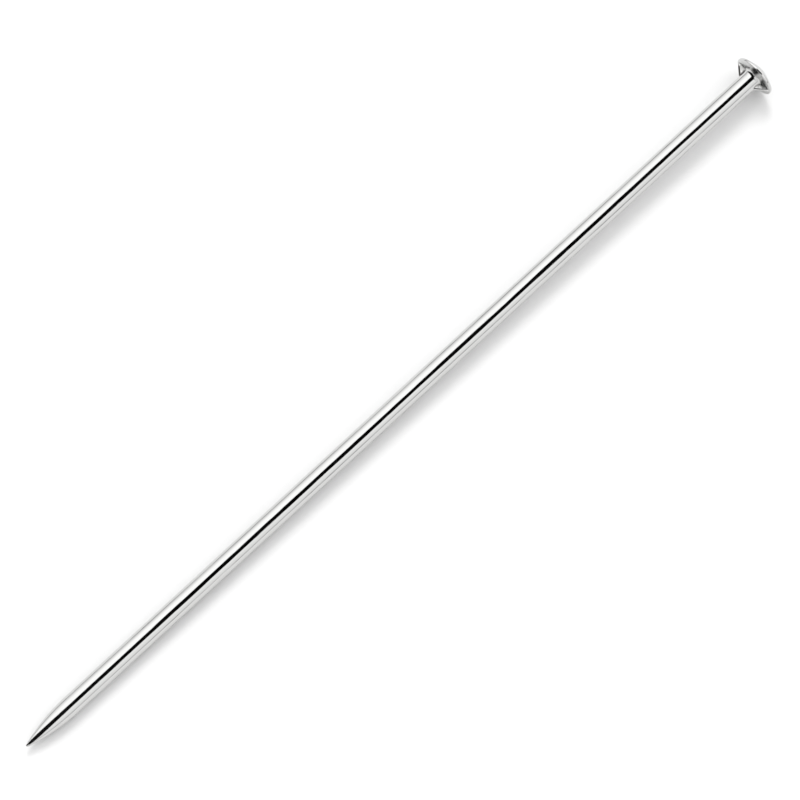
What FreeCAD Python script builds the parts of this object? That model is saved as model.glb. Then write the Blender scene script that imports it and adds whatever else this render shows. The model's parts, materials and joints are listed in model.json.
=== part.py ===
"""A steel head pin: one length of drawn wire, headed at one end and ground to a point at the other.

The pin is built along X with its tip at the origin, then laid down as it comes to rest: on the rim of
its head and on the shoulder of its point, with the two die fins under the head level. Sizes are in
millimetres, +Z is up.
"""

import FreeCAD, Part
import math
import os

from FreeCAD import Placement, Rotation, Vector

# The wire and the whole pin
WIRE_DIAMETER = 0.60
PIN_LENGTH = 30.00

# The ground point: its length, and the small round that grinding leaves at its end
POINT_LENGTH = 1.75
TIP_RADIUS = 0.045

# The upset head: a thin round brim with a low crown on it
BRIM_DIAMETER = 1.37
BRIM_THICKNESS = 0.10
BRIM_TOP_ROUND = 0.055
BRIM_LOWER_ROUND = 0.020
CROWN_DIAMETER = 1.16
CROWN_HEIGHT = 0.21
CROWN_FILLET = 0.040

# The underside of the brim slopes gently down and runs into the wire in a hollow round
UNDERSIDE_DEPTH = 0.05
NECK_FILLET = 0.130

# The two fins that metal squeezed between the halves of the heading die leaves under the head
FIN_SPAN = 1.33
FIN_BELOW_BRIM = 0.32
FIN_THICKNESS = 0.140
FIN_EDGE_ROUND = 0.055

# Radii, and places along the pin counted from the tip
WIRE_RADIUS = WIRE_DIAMETER / 2
BRIM_RADIUS = BRIM_DIAMETER / 2
CROWN_RADIUS = CROWN_DIAMETER / 2
CROWN_SPHERE = (CROWN_RADIUS**2 + CROWN_HEIGHT**2) / (2 * CROWN_HEIGHT)
POINT_SQUARES = POINT_LENGTH**2 - 2 * POINT_LENGTH * TIP_RADIUS + WIRE_RADIUS**2
FLANK_RADIUS = POINT_SQUARES / (2 * (WIRE_RADIUS - TIP_RADIUS))
BRIM_TOP = PIN_LENGTH - CROWN_HEIGHT
BRIM_EDGE = BRIM_TOP - BRIM_THICKNESS
NECK = BRIM_EDGE - UNDERSIDE_DEPTH
MID_BRIM = BRIM_EDGE + BRIM_THICKNESS / 2
FIN_FOOT = BRIM_EDGE - FIN_BELOW_BRIM


def section_point(along, radius):
    """A point of the half section, in the plane of X and Y."""
    return Vector(along, radius, 0)


def line(start, end):
    """A straight edge of the half section."""
    return Part.LineSegment(start, end).toShape()


def arc(start, centre, end):
    """The edge from start to end round a centre, the short way."""
    radius = start.distanceToPoint(centre)
    halfway = ((start + end) / 2 - centre).normalize()
    return Part.Arc(start, centre + halfway * radius, end).toShape()


def corner_round(before, corner, after, radius):
    """Start, centre and end of the arc that rounds a corner between two straight edges."""
    back = (before - corner).normalize()
    onward = (after - corner).normalize()
    half_angle = back.getAngle(onward) / 2
    setback = radius / math.tan(half_angle)
    centre = corner + (back + onward).normalize() * (radius / math.sin(half_angle))
    return corner + back * setback, centre, corner + onward * setback


def point_edges():
    """The half section of the point: the round of the tip, then a flank that runs out into the wire."""
    # The flank is an arc that touches the round of the tip and lies level where it meets the wire.
    flank_centre = section_point(POINT_LENGTH, WIRE_RADIUS - FLANK_RADIUS)
    tip_centre = section_point(TIP_RADIUS, 0)
    touch = flank_centre + (tip_centre - flank_centre).normalize() * FLANK_RADIUS
    tip = arc(section_point(0, 0), tip_centre, touch)
    flank = arc(touch, flank_centre, section_point(POINT_LENGTH, WIRE_RADIUS))
    return [tip, flank]


def crown_edges():
    """The fillet that leads up from the brim, and the arc of the crown above it."""
    crown_centre = section_point(PIN_LENGTH - CROWN_SPHERE, 0)
    fillet_along = BRIM_TOP + CROWN_FILLET
    spread = CROWN_SPHERE + CROWN_FILLET
    fillet_centre = section_point(fillet_along, math.sqrt(spread**2 - (fillet_along - crown_centre.x)**2))
    foot = section_point(BRIM_TOP, fillet_centre.y)
    meeting = crown_centre + (fillet_centre - crown_centre).normalize() * CROWN_SPHERE
    fillet = arc(foot, fillet_centre, meeting)
    crown = arc(meeting, crown_centre, section_point(PIN_LENGTH, 0))
    return foot, [fillet, crown]


def body_edges(crown_foot):
    """The half section from the point's shoulder along the wire, out under the brim and over its rim."""
    corners = [
        section_point(POINT_LENGTH, WIRE_RADIUS),
        section_point(NECK, WIRE_RADIUS),
        section_point(BRIM_EDGE, BRIM_RADIUS),
        section_point(BRIM_TOP, BRIM_RADIUS),
        crown_foot,
    ]
    rounds = [NECK_FILLET, BRIM_LOWER_ROUND, BRIM_TOP_ROUND]
    edges = []
    here = corners[0]
    for before, corner, after, radius in zip(corners, corners[1:], corners[2:], rounds):
        start, centre, end = corner_round(before, corner, after, radius)
        edges.append(line(here, start))
        edges.append(arc(start, centre, end))
        here = end
    edges.append(line(here, crown_foot))
    return edges


def turned_pin():
    """The pin without its fins, turned from its half section."""
    crown_foot, crown = crown_edges()
    axis = line(section_point(PIN_LENGTH, 0), section_point(0, 0))
    outline = Part.Wire(point_edges() + body_edges(crown_foot) + crown + [axis])
    turned = Part.Face(outline).revolve(Vector(0, 0, 0), Vector(1, 0, 0), 360)
    # The seam of the turned faces is kept clear of the fins.
    turned.rotate(Vector(0, 0, 0), Vector(1, 0, 0), 90)
    return turned


def fin_plate():
    """Both fins as one plate through the axis: inside the brim above, sloping in to the wire below."""
    reach = FIN_SPAN / 2
    slope = FIN_BELOW_BRIM / (reach - WIRE_RADIUS)
    root = section_point(FIN_FOOT - slope * WIRE_RADIUS, 0)
    one_side = [section_point(MID_BRIM, reach), section_point(BRIM_EDGE, reach)]
    other_side = [section_point(BRIM_EDGE, -reach), section_point(MID_BRIM, -reach)]
    outline = Part.makePolygon(one_side + [root] + other_side + one_side[:1])
    plate = Part.Face(outline).extrude(Vector(0, 0, FIN_THICKNESS))
    plate.translate(Vector(0, 0, -FIN_THICKNESS / 2))
    return plate.makeFillet(FIN_EDGE_ROUND, fin_edges(plate))


def fin_edges(plate):
    """The long edges of the plate, along the outside of each fin."""
    found = []
    for edge in plate.Edges:
        start, end = [vertex.Point for vertex in edge.Vertexes]
        upright = start.x == end.x
        if not upright and start.z == end.z:
            found.append(edge)
    return found


def laid_down(solid):
    """The pin as it lies, on the lower round of its brim and on its flank, centred over the origin."""
    # Centres of the two arcs that touch the ground, in the half section below the axis.
    brim_centre = Vector(BRIM_EDGE + BRIM_LOWER_ROUND, 0, BRIM_LOWER_ROUND - BRIM_RADIUS)
    flank_centre = Vector(POINT_LENGTH, 0, FLANK_RADIUS - WIRE_RADIUS)
    gap = brim_centre - flank_centre
    tilt = math.asin((BRIM_LOWER_ROUND - FLANK_RADIUS) / gap.Length) - math.atan2(gap.z, gap.x)
    rise = Rotation(Vector(0, 1, 0), -math.degrees(tilt))
    height = BRIM_LOWER_ROUND - rise.multVec(brim_centre).z
    tip_end = TIP_RADIUS * math.cos(tilt) - TIP_RADIUS
    head_end = (PIN_LENGTH - CROWN_SPHERE) * math.cos(tilt) + CROWN_SPHERE
    solid.Placement = Placement(Vector(-(tip_end + head_end) / 2, 0, height), rise)
    return solid


def build():
    """Makes the pin and writes it."""
    pin = turned_pin().fuse(fin_plate()).removeSplitter()
    pin = laid_down(pin.Solids[0])
    os.makedirs("parts", exist_ok=True)
    pin.exportStep("parts/pin.step")


build()
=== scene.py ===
"""Dresses a steel head pin: a finely turned mesh with its finish, a pale floor, soft light and a camera."""

import json
import math

import bmesh
import bpy
from bpy.props import FloatProperty, FloatVectorProperty, PointerProperty
from mathutils import Matrix, Vector


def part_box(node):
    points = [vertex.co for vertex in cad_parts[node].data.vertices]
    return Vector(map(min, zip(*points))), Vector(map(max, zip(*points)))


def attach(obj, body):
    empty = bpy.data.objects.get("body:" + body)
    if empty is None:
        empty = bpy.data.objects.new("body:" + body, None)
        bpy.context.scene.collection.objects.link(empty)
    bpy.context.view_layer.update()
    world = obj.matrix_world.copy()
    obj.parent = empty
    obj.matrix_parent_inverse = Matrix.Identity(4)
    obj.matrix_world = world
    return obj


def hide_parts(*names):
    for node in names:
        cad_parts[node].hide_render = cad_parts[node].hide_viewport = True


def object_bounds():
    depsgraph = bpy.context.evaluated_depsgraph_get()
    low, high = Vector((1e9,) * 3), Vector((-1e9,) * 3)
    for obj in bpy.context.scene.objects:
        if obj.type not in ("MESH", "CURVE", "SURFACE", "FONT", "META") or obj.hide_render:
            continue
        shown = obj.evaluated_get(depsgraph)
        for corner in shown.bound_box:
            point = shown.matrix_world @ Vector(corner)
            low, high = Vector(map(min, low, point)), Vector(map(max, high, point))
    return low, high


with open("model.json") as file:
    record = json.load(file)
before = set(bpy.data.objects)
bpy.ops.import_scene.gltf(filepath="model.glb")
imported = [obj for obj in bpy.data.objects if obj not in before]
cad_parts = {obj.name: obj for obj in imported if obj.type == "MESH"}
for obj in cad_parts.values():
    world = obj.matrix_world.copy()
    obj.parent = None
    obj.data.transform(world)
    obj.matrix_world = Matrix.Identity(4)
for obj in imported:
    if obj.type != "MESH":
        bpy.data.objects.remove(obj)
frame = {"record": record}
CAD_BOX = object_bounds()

bl_info = {
    "name": "Head pin",
    "version": (1, 0, 0),
    "blender": (4, 5, 0),
    "location": "View3D > Sidebar > Head pin",
    "description": "Makes a bright steel head pin and the small studio that it is photographed in",
    "category": "Object",
}

# The frame is in metres. The pin is made in millimetres and then carried to its place in the frame.
MM = 0.001

# Lengths below this, in millimetres, count as none
TINY = 1e-6

# The node that the dressed pin stands for, the mount along its wire, and the attribute of the mesh
# that says where each point lies on the pin
NODE = "pin"
SHANK = frame["record"]["mounts"][0]
PLACE = "place_mm"

# Sides of the turned mesh, and its steps along each stretch of the half section
SIDES = 128
TIP_STEPS = 10
FLANK_STEPS = 48
NECK_STEPS = 12
UNDERSIDE_STEPS = 12
LOWER_ROUND_STEPS = 8
RIM_STEPS = 4
UPPER_ROUND_STEPS = 12
BRIM_TOP_STEPS = 4
CROWN_FILLET_STEPS = 10
CROWN_STEPS = 32
FIN_ROUND_STEPS = 6

# Rings of the straight wire in millimetres: far apart, but close together where the fins join it
RING_SPACING = 0.5
NEAR_HEAD = 0.6
NEAR_HEAD_RINGS = 24

# Edges between faces that meet more sharply than this aren't smoothed over
SHARP_ANGLE = math.radians(32)

# Where one way of working the metal gives way to the next. The shoulder of the point is in shares of
# the point's length. The others are in millimetres: how far outside the wire its drawn surface ends,
# how far out the die's print starts and is full, and how far above the brim's lower edge it ends.
SHOULDER_START = 0.8
SHOULDER_END = 1.1
DRAWN_END = 0.02
STRUCK_START = 0.002
STRUCK_FULL = 0.04
STRUCK_FADE = 0.005
STRUCK_END = 0.03

# Where shade is painted on the fins, in millimetres: a dark line along the outside edge in place of a dark
# reflection, with its soft limits; shade in the corner beside the wire's surface, with its own; and the
# stretch below the brim that stays clear
PAINTED_LINE_WIDTH = 0.05
PAINTED_LINE_FADE = 0.035
PAINTED_LINE_OFF_WIRE = 0.03
CORNER_START = 0.06
CORNER_FULL = 0.021
CORNER_END = 0.06
CORNER_FADE = 0.04
CLEAR_BELOW_BRIM = 0.05
CLEAR_FADE = 0.04

# How much of the painted shade the fin on the side of -Y has, and how far from the middle the change takes
WEAK_SIDE = 0.15
SIDE_CHANGE = 0.1

# Sockets of the Mix node when it mixes colours
COLOUR_A = 6
COLOUR_B = 7
COLOUR_RESULT = 2

# The floor and the lamp, in metres and watts
FLOOR_WIDTH = 2.4
LAMP_SIZE = 0.42
LAMP_POWER = 3.7
LAMP_DISTANCE = 1.0
LAMP_HEIGHT = math.radians(53)

# The dark card: its distance in metres, its steps from back to front, half the width of the line that
# the pin mirrors in millimetres, and the share of the pin's radius at which it stops following the tip
CARD_DISTANCE = 0.45
CARD_STEPS = 16
CARD_LINE = 0.051
CARD_LAST_SHARE = 0.55

# The camera stands on the side of the tip, so what the straight wire mirrors leans towards the head.
# In degrees, the lean at the point's shoulder, and one that is a little more than at the head
LEAN_AT_POINT = 9.5
LEAN_PAST_HEAD = 24

# Rows of the card that the neck and the underside of the head mirror, reaching far to the back. Each
# has its lean to the head, and its reach to back and front, in degrees.
UNDER_HEAD_ROWS = [(-24, 100, 40), (-28, 102, 12), (-50, 102, 10), (-78, 102, 10)]

# The tent's brightness against the height above the horizon, as a sine: the wall behind the pin, the
# wall before it, and the dim gap below both
BACK_WALL = {"From Min": -0.02, "From Max": 0.74, "To Min": 0.56, "To Max": 1.54}
FRONT_WALL = {"From Min": 0.0, "From Max": 0.72, "To Min": 0.92, "To Max": 1.26}
GAP = {"From Min": 0.0, "From Max": 0.16, "To Min": 0.15}

# Where the wall before the pin passes into the one behind it, as the cosine of the angle to the back
BETWEEN_WALLS = {"From Min": -0.35, "From Max": 0.15}

# The camera's sensor in millimetres, and its range in metres
SENSOR_WIDTH = 36.0
CLIP_START = 0.01
CLIP_END = 10.0


def linear_colour(hex_text):
    """A colour from its sRGB hex text to the linear values that shaders take."""
    found = []
    for place in (1, 3, 5):
        level = int(hex_text[place:place + 2], 16) / 255
        found.append(level / 12.92 if level <= 0.04045 else ((level + 0.055) / 1.055) ** 2.4)
    return (*found, 1.0)


def length(name, description, default):
    """A size of the pin that a user may change, in millimetres."""
    return FloatProperty(name=name, description=description, default=default, min=0.001, precision=3)


def metal_colour(name, description, hex_text):
    """A colour of the pin that a user may change."""
    return FloatVectorProperty(
        name=name, description=description, default=linear_colour(hex_text), size=4, subtype="COLOR",
        min=0.0, max=1.0)


class HeadPinWire(bpy.types.PropertyGroup):
    """Sizes of the wire and its point, in millimetres."""

    diameter: length("Wire diameter", "Thickness of the drawn wire", 2 * SHANK["dims"]["r_mm"])
    pin_length: length("Length", "From the tip to the top of the crown", 30.0)
    point_length: length("Point length", "How far the ground point reaches up the wire", 1.75)
    tip_radius: length("Tip radius", "Round that grinding leaves at the tip", 0.045)


class HeadPinHead(bpy.types.PropertyGroup):
    """Sizes of the upset head, in millimetres."""

    brim_diameter: length("Brim diameter", "Across the round brim", 1.37)
    brim_thickness: length("Brim thickness", "Thickness of the brim at its rim", 0.10)
    brim_top_round: length("Upper round", "Rounding of the brim's upper edge", 0.055)
    brim_lower_round: length("Lower round", "Rounding of the brim's lower edge", 0.020)
    crown_diameter: length("Crown diameter", "Across the foot of the crown", 1.16)
    crown_height: length("Crown height", "Height of the crown above the brim", 0.21)
    crown_fillet: length("Crown fillet", "Hollow round between brim and crown", 0.040)
    underside_depth: length("Underside depth", "How far the brim's underside slopes down to the wire", 0.05)
    neck_fillet: length("Neck round", "Hollow round between the underside and the wire", 0.130)
    fin_span: length("Fin span", "Across both die fins", 1.33)
    fin_below_brim: length("Fin drop", "How far the fins run down the wire below the brim", 0.32)
    fin_thickness: length("Fin thickness", "Thickness of the die fins", 0.140)
    fin_edge_round: length("Fin edge round", "Rounding along the fins' edges", 0.055)


class HeadPinFinish(bpy.types.PropertyGroup):
    """Colours of the metal, and of the painted shade on the fins."""

    plating: metal_colour("Plating", "Bright nickel plating over the whole pin", "#D0D0CF")
    # Painted shade: the dark colour laid along the fins' outside edges and in their corners, in place of a
    # dark reflection and corner shade.
    painted_shade_colour: metal_colour("Darkened steel", "Where the plating is thin on the fins", "#3D3B3A")


class HeadPinStudio(bpy.types.PropertyGroup):
    """The camera's place and lens."""

    azimuth: FloatProperty(
        name="Azimuth", description="Way the camera looks: 0 along +Y",
        default=math.radians(-44.2), subtype="ANGLE")
    elevation: FloatProperty(
        name="Elevation", description="Height of the camera above the horizon",
        default=math.radians(70), subtype="ANGLE")
    focal_length: FloatProperty(
        name="Focal length", description="Lens, in millimetres", default=300.0, min=50.0)
    field_width: FloatProperty(
        name="Field width", description="What the picture spans at the pin", default=23.4 * MM,
        subtype="DISTANCE", unit="LENGTH")


SETTINGS = {
    "head_pin_wire": HeadPinWire,
    "head_pin_head": HeadPinHead,
    "head_pin_finish": HeadPinFinish,
    "head_pin_studio": HeadPinStudio,
}


def arc_points(start, centre, end, steps):
    """Points from start to end round a centre, the short way, without the first."""
    radius = (start - centre).length
    begin = math.atan2(start.y - centre.y, start.x - centre.x)
    turn = math.atan2(end.y - centre.y, end.x - centre.x) - begin
    turn = (turn + math.pi) % math.tau - math.pi
    found = []
    for step in range(1, steps + 1):
        angle = begin + turn * step / steps
        found.append(centre + Vector((math.cos(angle), math.sin(angle))) * radius)
    return found


def corner_points(before, corner, after, radius, steps):
    """Points of the round of a corner between two straight lines."""
    back = (before - corner).normalized()
    onward = (after - corner).normalized()
    half_angle = back.angle(onward) / 2
    setback = radius / math.tan(half_angle)
    centre = corner + (back + onward).normalized() * (radius / math.sin(half_angle))
    start = corner + back * setback
    return [start] + arc_points(start, centre, corner + onward * setback, steps)


def led_up_to(before, points, steps):
    """The points, led up to by evenly spaced ones on the straight line from before."""
    gap = points[0] - before
    return [before + gap * step / steps for step in range(1, steps)] + points


def brim_ends(wire, head):
    """Where the brim's rim starts and ends along the pin."""
    top = wire.pin_length - head.crown_height
    return top - head.brim_thickness, top


def fin_line(wire, head):
    """The fins' sloping edge: where its line crosses the axis, and how much it climbs on the way out."""
    radius = wire.diameter / 2
    edge, _ = brim_ends(wire, head)
    climb = head.fin_below_brim / (head.fin_span / 2 - radius)
    return edge - head.fin_below_brim - climb * radius, climb


def point_section(wire):
    """Half section of the point: the round of the tip, and the flank that runs out into the wire."""
    radius, tip = wire.diameter / 2, wire.tip_radius
    squares = wire.point_length**2 - 2 * wire.point_length * tip + radius**2
    flank_radius = squares / (2 * (radius - tip))
    flank_centre = Vector((wire.point_length, radius - flank_radius))
    tip_centre = Vector((tip, 0))
    touch = flank_centre + (tip_centre - flank_centre).normalized() * flank_radius
    start = Vector((0, 0))
    shoulder = Vector((wire.point_length, radius))
    found = [start] + arc_points(start, tip_centre, touch, TIP_STEPS)
    return found + arc_points(touch, flank_centre, shoulder, FLANK_STEPS)


def wire_section(start, end):
    """Half section of the straight wire between the point's shoulder and the neck, without its ends."""
    found = []
    along = start.x + RING_SPACING
    while along < end.x - NEAR_HEAD:
        found.append(Vector((along, start.y)))
        along += RING_SPACING
    for step in range(NEAR_HEAD_RINGS):
        found.append(Vector((end.x - NEAR_HEAD + NEAR_HEAD / NEAR_HEAD_RINGS * step, start.y)))
    return found


def head_section(wire, head):
    """Half section of the head, from the neck to the top of the crown."""
    radius, rim, foot_radius = wire.diameter / 2, head.brim_diameter / 2, head.crown_diameter / 2
    edge, top = brim_ends(wire, head)
    sphere = (foot_radius**2 + head.crown_height**2) / (2 * head.crown_height)
    crown_centre = Vector((wire.pin_length - sphere, 0))
    fillet_along = top + head.crown_fillet
    fillet_radius = math.sqrt((sphere + head.crown_fillet) ** 2 - (fillet_along - crown_centre.x) ** 2)
    fillet_centre = Vector((fillet_along, fillet_radius))
    crown_foot = Vector((top, fillet_radius))
    meeting = crown_centre + (fillet_centre - crown_centre).normalized() * sphere
    apex = Vector((wire.pin_length, 0))

    shoulder = Vector((wire.point_length, radius))
    neck = Vector((edge - head.underside_depth, radius))
    lower = Vector((edge, rim))
    upper = Vector((top, rim))
    lower_round = corner_points(neck, lower, upper, head.brim_lower_round, LOWER_ROUND_STEPS)
    upper_round = corner_points(lower, upper, crown_foot, head.brim_top_round, UPPER_ROUND_STEPS)
    found = corner_points(shoulder, neck, lower, head.neck_fillet, NECK_STEPS)
    found += led_up_to(found[-1], lower_round, UNDERSIDE_STEPS)
    found += led_up_to(found[-1], upper_round, RIM_STEPS)
    found += led_up_to(found[-1], [crown_foot], BRIM_TOP_STEPS)
    found += arc_points(crown_foot, fillet_centre, meeting, CROWN_FILLET_STEPS)
    return found + arc_points(meeting, crown_centre, apex, CROWN_STEPS)


def turned(section):
    """A closed mesh turned round X from a half section that starts and ends on the axis."""
    mesh = bmesh.new()
    first = mesh.verts.new((section[0].x, 0, 0))
    last = mesh.verts.new((section[-1].x, 0, 0))
    rings = []
    for point in section[1:-1]:
        ring = []
        for side in range(SIDES):
            angle = math.tau * side / SIDES
            ring.append(mesh.verts.new((point.x, point.y * math.cos(angle), point.y * math.sin(angle))))
        rings.append(ring)
    for side in range(SIDES):
        beside = (side + 1) % SIDES
        mesh.faces.new((first, rings[0][side], rings[0][beside]))
        for lower, upper in zip(rings, rings[1:]):
            mesh.faces.new((lower[side], upper[side], upper[beside], lower[beside]))
        mesh.faces.new((last, rings[-1][beside], rings[-1][side]))
    bmesh.ops.recalc_face_normals(mesh, faces=mesh.faces)
    return mesh


def fin_plate(wire, head):
    """Both die fins as one plate with rounded edges, through the axis of the pin."""
    reach = head.fin_span / 2
    edge, _ = brim_ends(wire, head)
    root, _ = fin_line(wire, head)
    inside = edge + head.brim_thickness / 2
    outline = [(inside, reach), (edge, reach), (root, 0), (edge, -reach), (inside, -reach)]
    mesh = bmesh.new()
    lower_face = mesh.faces.new([mesh.verts.new((x, y, -head.fin_thickness / 2)) for x, y in outline])
    raised = bmesh.ops.extrude_face_region(mesh, geom=[lower_face])
    moved = [item for item in raised["geom"] if isinstance(item, bmesh.types.BMVert)]
    bmesh.ops.translate(mesh, verts=moved, vec=(0, 0, head.fin_thickness))
    bmesh.ops.recalc_face_normals(mesh, faces=mesh.faces)
    long_edges = []
    for line in mesh.edges:
        start, end = [vertex.co for vertex in line.verts]
        if abs(start.z - end.z) < TINY and abs(start.x - end.x) > TINY:
            long_edges.append(line)
    bmesh.ops.bevel(
        mesh, geom=long_edges, offset=head.fin_edge_round, offset_type="OFFSET",
        segments=FIN_ROUND_STEPS, profile=0.5, affect="EDGES")
    return mesh


def placed(name, data, matrix=None):
    """A scene object for a mesh, a lamp or a camera."""
    made = bpy.data.objects.new(name, data)
    bpy.context.scene.collection.objects.link(made)
    if matrix is not None:
        made.matrix_world = matrix
    return made


def as_object(mesh, name):
    """A scene object from a bmesh."""
    data = bpy.data.meshes.new(name)
    mesh.to_mesh(data)
    mesh.free()
    return placed(name, data)


def fused(body, other):
    """The union of two closed objects as one new mesh; both objects go."""
    join = body.modifiers.new("join", "BOOLEAN")
    join.operation = "UNION"
    join.solver = "EXACT"
    join.object = other
    graph = bpy.context.evaluated_depsgraph_get()
    mesh = bpy.data.meshes.new_from_object(body.evaluated_get(graph))
    for old in (body, other):
        bpy.data.objects.remove(old)
    if not mesh.polygons:
        raise RuntimeError("the fins could not be joined to the pin")
    return mesh


def keep_places(mesh):
    """Keeps where each point lies on the pin, in millimetres from the tip, for the material's patterns."""
    places = mesh.attributes.new(PLACE, "FLOAT_VECTOR", "POINT")
    for vertex, place in zip(mesh.vertices, places.data):
        place.vector = vertex.co


def lying_place(wire):
    """Carries a pin built along X, in millimetres, to where the frame's pin lies, in metres."""
    towards_head = -Vector(SHANK["axis"]).normalized()
    middle = Vector(SHANK["pos_m"])
    # The round of the tip touches the low end of the node's box, so its centre is one radius in.
    low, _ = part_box(NODE)
    tip_centre_x = low.x + wire.tip_radius * MM
    tip_centre = middle + towards_head * ((tip_centre_x - middle.x) / towards_head.x)
    start = tip_centre - towards_head * wire.tip_radius * MM
    turn = Vector((1, 0, 0)).rotation_difference(towards_head).to_matrix().to_4x4()
    return Matrix.Translation(start) @ turn @ Matrix.Scale(MM, 4)


def add_node(tree, kind, settings=None, links=None):
    """Adds a node, sets its properties or input values, and links its inputs from other outputs."""
    node = tree.nodes.new(kind)
    for name, value in (settings or {}).items():
        if isinstance(name, str) and hasattr(node, name):
            setattr(node, name, value)
        else:
            node.inputs[name].default_value = value
    for name, source in (links or {}).items():
        tree.links.new(source, node.inputs[name])
    return node


def mask(tree, *limits):
    """A soft mask: nought where a value is at its first limit, full where all are at their second."""
    shared = None
    for value, start, full in limits:
        part = add_node(tree, "ShaderNodeMapRange",
                        {"interpolation_type": "SMOOTHSTEP", "From Min": start, "From Max": full},
                        {"Value": value}).outputs["Result"]
        if shared:
            both = add_node(tree, "ShaderNodeMath", {"operation": "MULTIPLY"}, {0: shared, 1: part})
            part = both.outputs["Value"]
        shared = part
    return shared


def sum_of(tree, level, amounts):
    """A level plus each of the outputs times its amount."""
    total = None
    for output, amount in amounts:
        links = {0: output, 2: total} if total else {0: output}
        step = add_node(tree, "ShaderNodeMath", {"operation": "MULTIPLY_ADD", 1: amount, 2: level}, links)
        total = step.outputs["Value"]
    return total


def grain(tree, place, cells, detail):
    """Noise over the pin, its cells as long in millimetres as given for each axis of the pin."""
    counted = add_node(tree, "ShaderNodeVectorMath", {"operation": "DIVIDE", 1: cells}, {0: place})
    noise = add_node(tree, "ShaderNodeTexNoise", {"Scale": 1.0, "Detail": detail, "Roughness": 0.55},
                     {"Vector": counted.outputs["Vector"]})
    return noise.outputs["Fac"]


def distance_from_axis(tree, place):
    """How far a point lies from the pin's axis, in millimetres."""
    flat = add_node(tree, "ShaderNodeVectorMath", {"operation": "MULTIPLY", 1: (0.0, 1.0, 1.0)}, {0: place})
    reach = add_node(tree, "ShaderNodeVectorMath", {"operation": "LENGTH"}, {0: flat.outputs["Vector"]})
    return reach.outputs["Value"]


def painted_fin_shade(tree, parts, wire, head):
    """A mask of painted shade on the fins: a dark line along their outside edges in place of a dark
    reflection, and shade in their corners by the wire; the fin on the side of +Y has more.
    """
    radius = wire.diameter / 2
    edge, _ = brim_ends(wire, head)
    outside, climb = fin_line(wire, head)
    out = add_node(tree, "ShaderNodeMath", {"operation": "ABSOLUTE"}, {0: parts["Y"]}).outputs["Value"]
    inward = add_node(tree, "ShaderNodeMath", {"operation": "MULTIPLY_ADD", 1: -climb},
                      {0: out, 2: parts["X"]}).outputs["Value"]
    below_brim = (parts["X"], edge - CLEAR_BELOW_BRIM, edge - CLEAR_BELOW_BRIM - CLEAR_FADE)
    # Painted dark line along the fins' outside edges, in place of a dark reflection
    painted_line = mask(
        tree, below_brim,
        (inward, outside + PAINTED_LINE_WIDTH + PAINTED_LINE_FADE, outside + PAINTED_LINE_WIDTH),
        (out, radius, radius + PAINTED_LINE_OFF_WIRE))
    # Painted shade in the fins' corners beside the wire
    corner = mask(
        tree, below_brim,
        (out, radius - CORNER_START, radius - CORNER_FULL),
        (out, radius + CORNER_END, radius),
        (inward, outside, outside + CORNER_FADE))
    both = add_node(tree, "ShaderNodeMath", {"operation": "MAXIMUM"}, {0: painted_line, 1: corner})
    # Most of the painted shade goes on the fin on the side of +Y
    side = add_node(tree, "ShaderNodeMapRange",
                    {"From Min": -SIDE_CHANGE, "From Max": SIDE_CHANGE, "To Min": WEAK_SIDE},
                    {"Value": parts["Y"]})
    painted_shade_margins = add_node(tree, "ShaderNodeMath", {"operation": "MULTIPLY"},
                       {0: both.outputs["Value"], 1: side.outputs["Result"]})
    return painted_shade_margins.outputs["Value"]


def worked_areas(tree, place, wire, head):
    """Masks of the ground point, the drawn wire, what the die struck, the crown and the fins' painted shade.
    """
    parts = add_node(tree, "ShaderNodeSeparateXYZ", links={"Vector": place}).outputs
    along, off_axis = parts["X"], distance_from_axis(tree, place)
    radius = wire.diameter / 2
    edge, top = brim_ends(wire, head)
    shoulder_start, shoulder_end = SHOULDER_START * wire.point_length, SHOULDER_END * wire.point_length
    ground = mask(tree, (along, shoulder_end, shoulder_start))
    drawn = mask(tree, (along, shoulder_start, shoulder_end), (off_axis, radius + DRAWN_END, radius))
    struck = mask(
        tree,
        (off_axis, radius + STRUCK_START, radius + STRUCK_FULL),
        (along, edge + STRUCK_END, edge + STRUCK_FADE))
    crown = mask(tree, (along, edge, top))
    return ground, drawn, struck, crown, painted_fin_shade(tree, parts, wire, head)


def metal_patterns(tree, place):
    """What each way of working leaves on the metal: lines, rings, the die's print, waves and patches."""
    # Drawing through the die leaves lines along the wire. Real ones are a few thousandths of a
    # millimetre apart; these are ten times as wide, so that they aren't lost in the picture.
    lines = grain(tree, place, (3.8, 0.045, 0.045), 3.0)
    # Grinding leaves rings round the point, 0.03 mm apart.
    rings = grain(tree, place, (0.03, 0.2, 0.2), 2.0)
    # The heading die's face prints its grain on the underside and the fins, in cells of 0.08 mm.
    print_marks = grain(tree, place, (0.08, 0.08, 0.08), 3.0)
    # Tumbling leaves the crown softly uneven, in cells of 0.2 mm.
    waves = grain(tree, place, (0.2, 0.2, 0.2), 2.0)
    # Handling dulls the plating in faint patches of about 1 mm.
    patches = grain(tree, place, (1.4, 0.7, 0.7), 2.0)
    return lines, rings, print_marks, waves, patches


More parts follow.
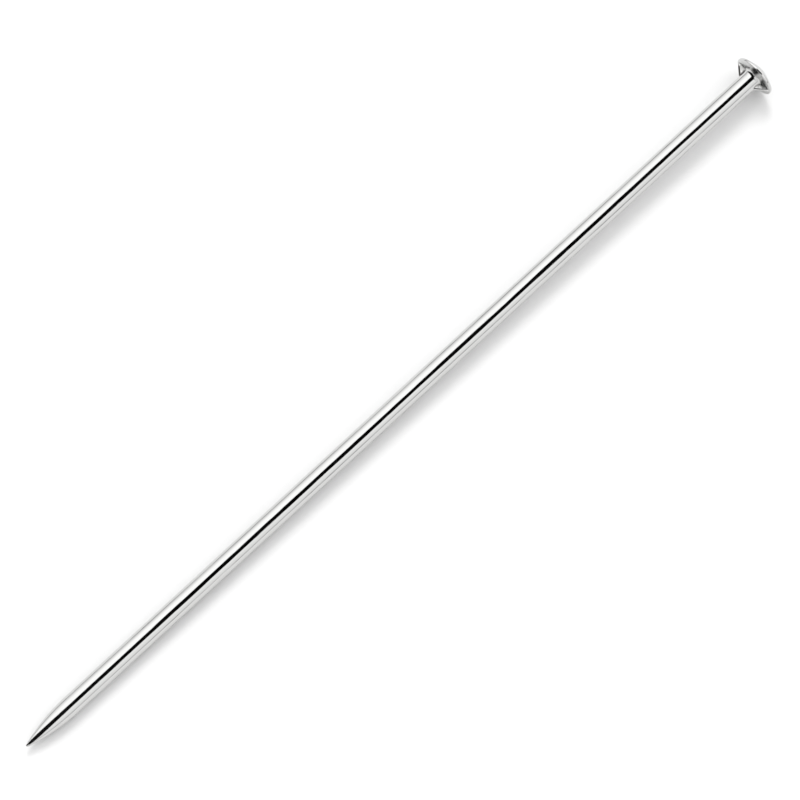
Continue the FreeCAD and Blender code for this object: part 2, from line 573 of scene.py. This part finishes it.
def plated_steel(wire, head, finish):
    """Bright nickel plating on drawn steel wire, tumbled: a mirror, rougher where the die struck it."""
    material = bpy.data.materials.new("nickel_plated_drawn_steel")
    material.use_nodes = True
    tree = material.node_tree
    shader = tree.nodes["Principled BSDF"]
    shader.inputs["Metallic"].default_value = 1.0
    place = add_node(tree, "ShaderNodeAttribute", {"attribute_name": PLACE}).outputs["Vector"]
    ground, drawn, struck, crown, painted_shade_margins = worked_areas(tree, place, wire, head)
    lines, rings, print_marks, waves, patches = metal_patterns(tree, place)

    # The plating is pale and all but neutral. Shade is painted on the outside edges of the fins, as a dark
    # line in place of a dark reflection, and in their corners beside the wire, as corner shade.
    colour = add_node(
        tree, "ShaderNodeMix",
        {"data_type": "RGBA", COLOUR_A: finish.plating, COLOUR_B: finish.painted_shade_colour},
        {"Factor": painted_shade_margins})
    tree.links.new(colour.outputs[COLOUR_RESULT], shader.inputs["Base Color"])

    # How deep each pattern is, in millimetres
    below = {}
    for pattern, area, depth in (
            (lines, drawn, 0.0016), (rings, ground, 0.0009), (print_marks, struck, 0.007),
            (waves, crown, 0.0025)):
        bump = add_node(tree, "ShaderNodeBump", {"Distance": depth * MM},
                        {"Height": pattern, "Strength": area, **below})
        below = {"Normal": bump.outputs["Normal"]}
    tree.links.new(below["Normal"], shader.inputs["Normal"])

    # How rough polished plating is, and how much each pattern and area adds
    roughness = sum_of(tree, 0.015, (
        (lines, 0.03), (patches, 0.04), (ground, 0.03), (struck, 0.16), (crown, 0.04), (painted_shade_margins, 0.15)))
    tree.links.new(roughness, shader.inputs["Roughness"])
    return material


class HEADPIN_OT_pin(bpy.types.Operator):
    """Make the pin: wire, point, head and die fins in one piece"""

    bl_idname = "head_pin.pin"
    bl_label = "Pin"

    def execute(self, context):
        wire, head = context.scene.head_pin_wire, context.scene.head_pin_head
        point, neck_on = point_section(wire), head_section(wire, head)
        section = point + wire_section(point[-1], neck_on[0]) + neck_on
        body = as_object(turned(section), "turned")
        fins = as_object(fin_plate(wire, head), "fins")
        mesh = fused(body, fins)
        mesh.name = "head_pin"
        keep_places(mesh)
        mesh.transform(lying_place(wire))
        mesh.shade_smooth()
        mesh.set_sharp_from_angle(angle=SHARP_ANGLE)
        mesh.materials.clear()
        mesh.materials.append(plated_steel(wire, head, context.scene.head_pin_finish))
        piece = placed("head_pin", mesh)
        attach(piece, "root")
        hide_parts(NODE)
        return {"FINISHED"}


def card_stock(name, hex_text, roughness):
    """Card of one even colour, without a gloss of its own."""
    material = bpy.data.materials.new(name)
    material.use_nodes = True
    shader = material.node_tree.nodes["Principled BSDF"]
    shader.inputs["Base Color"].default_value = linear_colour(hex_text)
    shader.inputs["Roughness"].default_value = roughness
    shader.inputs["Specular IOR Level"].default_value = 0.0
    return material


def white_card():
    """Matt white card, pressed smooth: an even, pale ground that takes the pin's soft shadow."""
    return card_stock("matt_white_card", "#DBDBDB", 0.9)


def black_card():
    """Black velvet card, flocked: it takes light away, and the pin mirrors it as a dark line."""
    return card_stock("black_velvet_card", "#020202", 1.0)


def floor(height):
    """The sheet that the pin lies on."""
    half = FLOOR_WIDTH / 2
    mesh = bmesh.new()
    corners = [(-half, -half), (half, -half), (half, half), (-half, half)]
    mesh.faces.new([mesh.verts.new((x, y, height)) for x, y in corners])
    sheet = as_object(mesh, "floor")
    sheet.data.materials.append(white_card())


def card_reach(radius):
    """How far round the pin the card reaches, in degrees, to give its line where the pin has this radius."""
    return math.degrees(2 * math.asin(CARD_LINE / radius))


def card_rows(wire):
    """Rows of the card in degrees: lean towards the head, and reach round the pin to back and front."""
    straight = card_reach(wire.diameter / 2)
    rows = [(LEAN_PAST_HEAD, straight, straight), (LEAN_AT_POINT, straight, straight)]
    section = point_section(wire)[::-1]
    for here, beyond in zip(section, section[1:]):
        if CARD_LINE / here.y < CARD_LAST_SHARE:
            slope = math.degrees(math.atan2(here.y - beyond.y, here.x - beyond.x))
            reach = card_reach(here.y)
            rows.append((LEAN_AT_POINT - 2 * slope, reach, reach))
    return rows + UNDER_HEAD_ROWS


def dark_card(wire, middle, to_camera):
    """A curved dark card beyond the camera, cut to mirror as an even line on the wire and its point."""
    across = Vector((0, to_camera.y, to_camera.z)).normalized()
    to_back = across.cross(Vector((1, 0, 0)))
    mesh = bmesh.new()
    rows = []
    for lean_degrees, back_reach, front_reach in card_rows(wire):
        lean = math.radians(lean_degrees)
        row = []
        for step in range(CARD_STEPS + 1):
            turn = math.radians(back_reach - (back_reach + front_reach) * step / CARD_STEPS)
            way = across * math.cos(turn) + to_back * math.sin(turn)
            place = middle + (way * math.cos(lean) + Vector((math.sin(lean), 0, 0))) * CARD_DISTANCE
            row.append(mesh.verts.new(place))
        rows.append(row)
    for row, beyond in zip(rows, rows[1:]):
        for step in range(CARD_STEPS):
            mesh.faces.new((row[step], row[step + 1], beyond[step + 1], beyond[step]))
    card = as_object(mesh, "dark_card")
    card.data.materials.append(black_card())
    # Only the pin's mirror sees it.
    card.visible_camera = False
    card.visible_diffuse = False
    card.visible_shadow = False


def aimed(place, target):
    """The matrix of a lamp or camera at a place that looks at a target."""
    turn = (target - place).to_track_quat("-Z", "Y")
    return Matrix.Translation(place) @ turn.to_matrix().to_4x4()


def soft_lamp(middle, back):
    """A round lamp high up behind the pin. It lights the floor and casts the shadow, and isn't mirrored."""
    data = bpy.data.lights.new("key", "AREA")
    data.shape = "DISK"
    data.size = LAMP_SIZE
    data.energy = LAMP_POWER
    way = back * math.cos(LAMP_HEIGHT) + Vector((0, 0, math.sin(LAMP_HEIGHT)))
    lamp = placed("key", data, aimed(middle + way * LAMP_DISTANCE, middle))
    lamp.visible_glossy = False


def tent(back):
    """A white tent, brightest overhead and behind, with a dim gap between its walls and the floor."""
    world = bpy.data.worlds.new("tent")
    world.use_nodes = True
    bpy.context.scene.world = world
    tree = world.node_tree
    background = tree.nodes["Background"]
    way = add_node(tree, "ShaderNodeTexCoord").outputs["Generated"]
    height = add_node(tree, "ShaderNodeSeparateXYZ", links={"Vector": way}).outputs["Z"]
    to_back = add_node(tree, "ShaderNodeVectorMath", {"operation": "DOT_PRODUCT", 1: back}, {0: way})
    share, back_wall, front_wall, gap = [
        add_node(tree, "ShaderNodeMapRange", limits, {"Value": value}).outputs["Result"]
        for limits, value in ((BETWEEN_WALLS, to_back.outputs["Value"]), (BACK_WALL, height),
                              (FRONT_WALL, height), (GAP, height))]
    walls = add_node(tree, "ShaderNodeMix", {"data_type": "FLOAT"},
                     {"Factor": share, "A": front_wall, "B": back_wall})
    level = add_node(tree, "ShaderNodeMath", {"operation": "MULTIPLY"}, {0: walls.outputs["Result"], 1: gap})
    tree.links.new(level.outputs["Value"], background.inputs["Strength"])
    background.inputs["Color"].default_value = linear_colour("#FFFFFF")


def camera(studio, middle, to_camera):
    """The camera that sees the whole pin from the side of its tip and from above."""
    data = bpy.data.cameras.new("camera")
    data.sensor_width = SENSOR_WIDTH
    data.lens = studio.focal_length
    data.clip_start = CLIP_START
    data.clip_end = CLIP_END
    distance = studio.field_width * studio.focal_length / SENSOR_WIDTH
    scene = bpy.context.scene
    scene.camera = placed("camera", data, aimed(middle + to_camera * distance, middle))
    scene.view_settings.view_transform = "Standard"


class HEADPIN_OT_stage(bpy.types.Operator):
    """Make the floor, the soft light and the camera"""

    bl_idname = "head_pin.stage"
    bl_label = "Stage"

    def execute(self, context):
        studio = context.scene.head_pin_studio
        low, high = CAD_BOX
        middle = (low + high) / 2
        back = Vector((-math.sin(studio.azimuth), math.cos(studio.azimuth), 0))
        to_camera = -back * math.cos(studio.elevation) + Vector((0, 0, math.sin(studio.elevation)))
        floor(low.z)
        dark_card(context.scene.head_pin_wire, middle, to_camera)
        soft_lamp(middle, back)
        tent(back)
        camera(studio, middle, to_camera)
        return {"FINISHED"}


class HEADPIN_PT_panel(bpy.types.Panel):
    """The settings and operators in the sidebar"""

    bl_label = "Head pin"
    bl_idname = "HEADPIN_PT_panel"
    bl_space_type = "VIEW_3D"
    bl_region_type = "UI"
    bl_category = "Head pin"

    def draw(self, context):
        for name, group in SETTINGS.items():
            box = self.layout.box()
            for prop in group.__annotations__:
                box.prop(getattr(context.scene, name), prop)
        for operator in OPERATORS:
            self.layout.operator(operator.bl_idname)


OPERATORS = (HEADPIN_OT_pin, HEADPIN_OT_stage)
CLASSES = (*SETTINGS.values(), *OPERATORS, HEADPIN_PT_panel)


def register():
    """Registers the classes, and gives each scene the settings."""
    for cls in CLASSES:
        bpy.utils.register_class(cls)
    for name, group in SETTINGS.items():
        setattr(bpy.types.Scene, name, PointerProperty(type=group))


def unregister():
    """Takes the settings and the classes away again."""
    for name in SETTINGS:
        delattr(bpy.types.Scene, name)
    for cls in reversed(CLASSES):
        bpy.utils.unregister_class(cls)


def main():
    """Makes the pin and its studio."""
    register()
    bpy.ops.head_pin.pin()
    bpy.ops.head_pin.stage()


if __name__ == "__main__":
    main()
